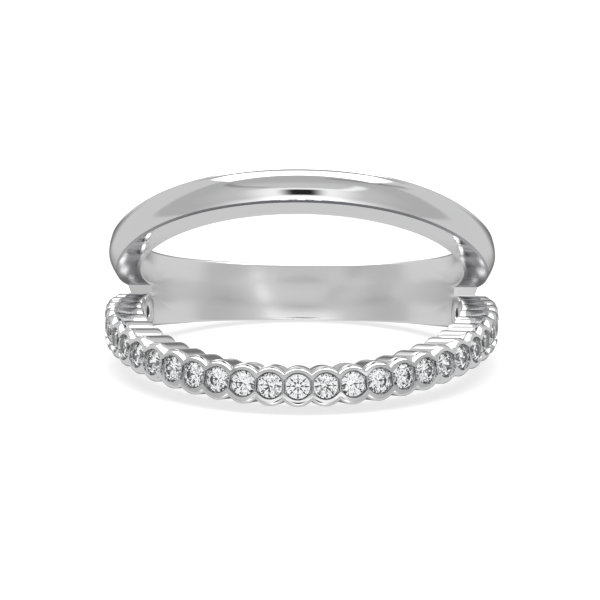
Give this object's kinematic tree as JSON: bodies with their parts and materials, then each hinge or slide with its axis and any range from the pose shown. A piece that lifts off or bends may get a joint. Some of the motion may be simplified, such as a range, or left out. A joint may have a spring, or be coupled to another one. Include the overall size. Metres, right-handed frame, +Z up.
{
  "type": "ring",
  "caption": "Finger ring with a split front: a plain domed band above, a scalloped row of round clear stones below, one shank behind.",
  "frame": {"origin": "on the floor below the middle of the ring as it lies on its stone row and on the back of its shank", "axes": "+Z up from the floor, -Y towards the split front, +X to the right when the front is seen from outside"},
  "size_m": [0.0212, 0.0216, 0.0115],
  "materials": {
    "silver": "polished rhodium-plated silver",
    "zirconia": "clear faceted cubic zirconia"
  },
  "bodies": {
    "root": {"ring_body": "silver", "stone_01": "zirconia", "stone_02": "zirconia", "stone_03": "zirconia", "stone_04": "zirconia", "stone_05": "zirconia", "stone_06": "zirconia", "stone_07": "zirconia", "stone_08": "zirconia", "stone_09": "zirconia", "stone_10": "zirconia", "stone_11": "zirconia", "stone_12": "zirconia", "stone_13": "zirconia", "stone_14": "zirconia", "stone_15": "zirconia", "stone_16": "zirconia", "stone_17": "zirconia", "stone_18": "zirconia", "stone_19": "zirconia", "stone_20": "zirconia", "stone_21": "zirconia", "stone_22": "zirconia", "stone_23": "zirconia", "stone_24": "zirconia", "stone_25": "zirconia", "stone_26": "zirconia", "stone_27": "zirconia", "stone_28": "zirconia", "stone_29": "zirconia"}
  },
  "joints": []
}
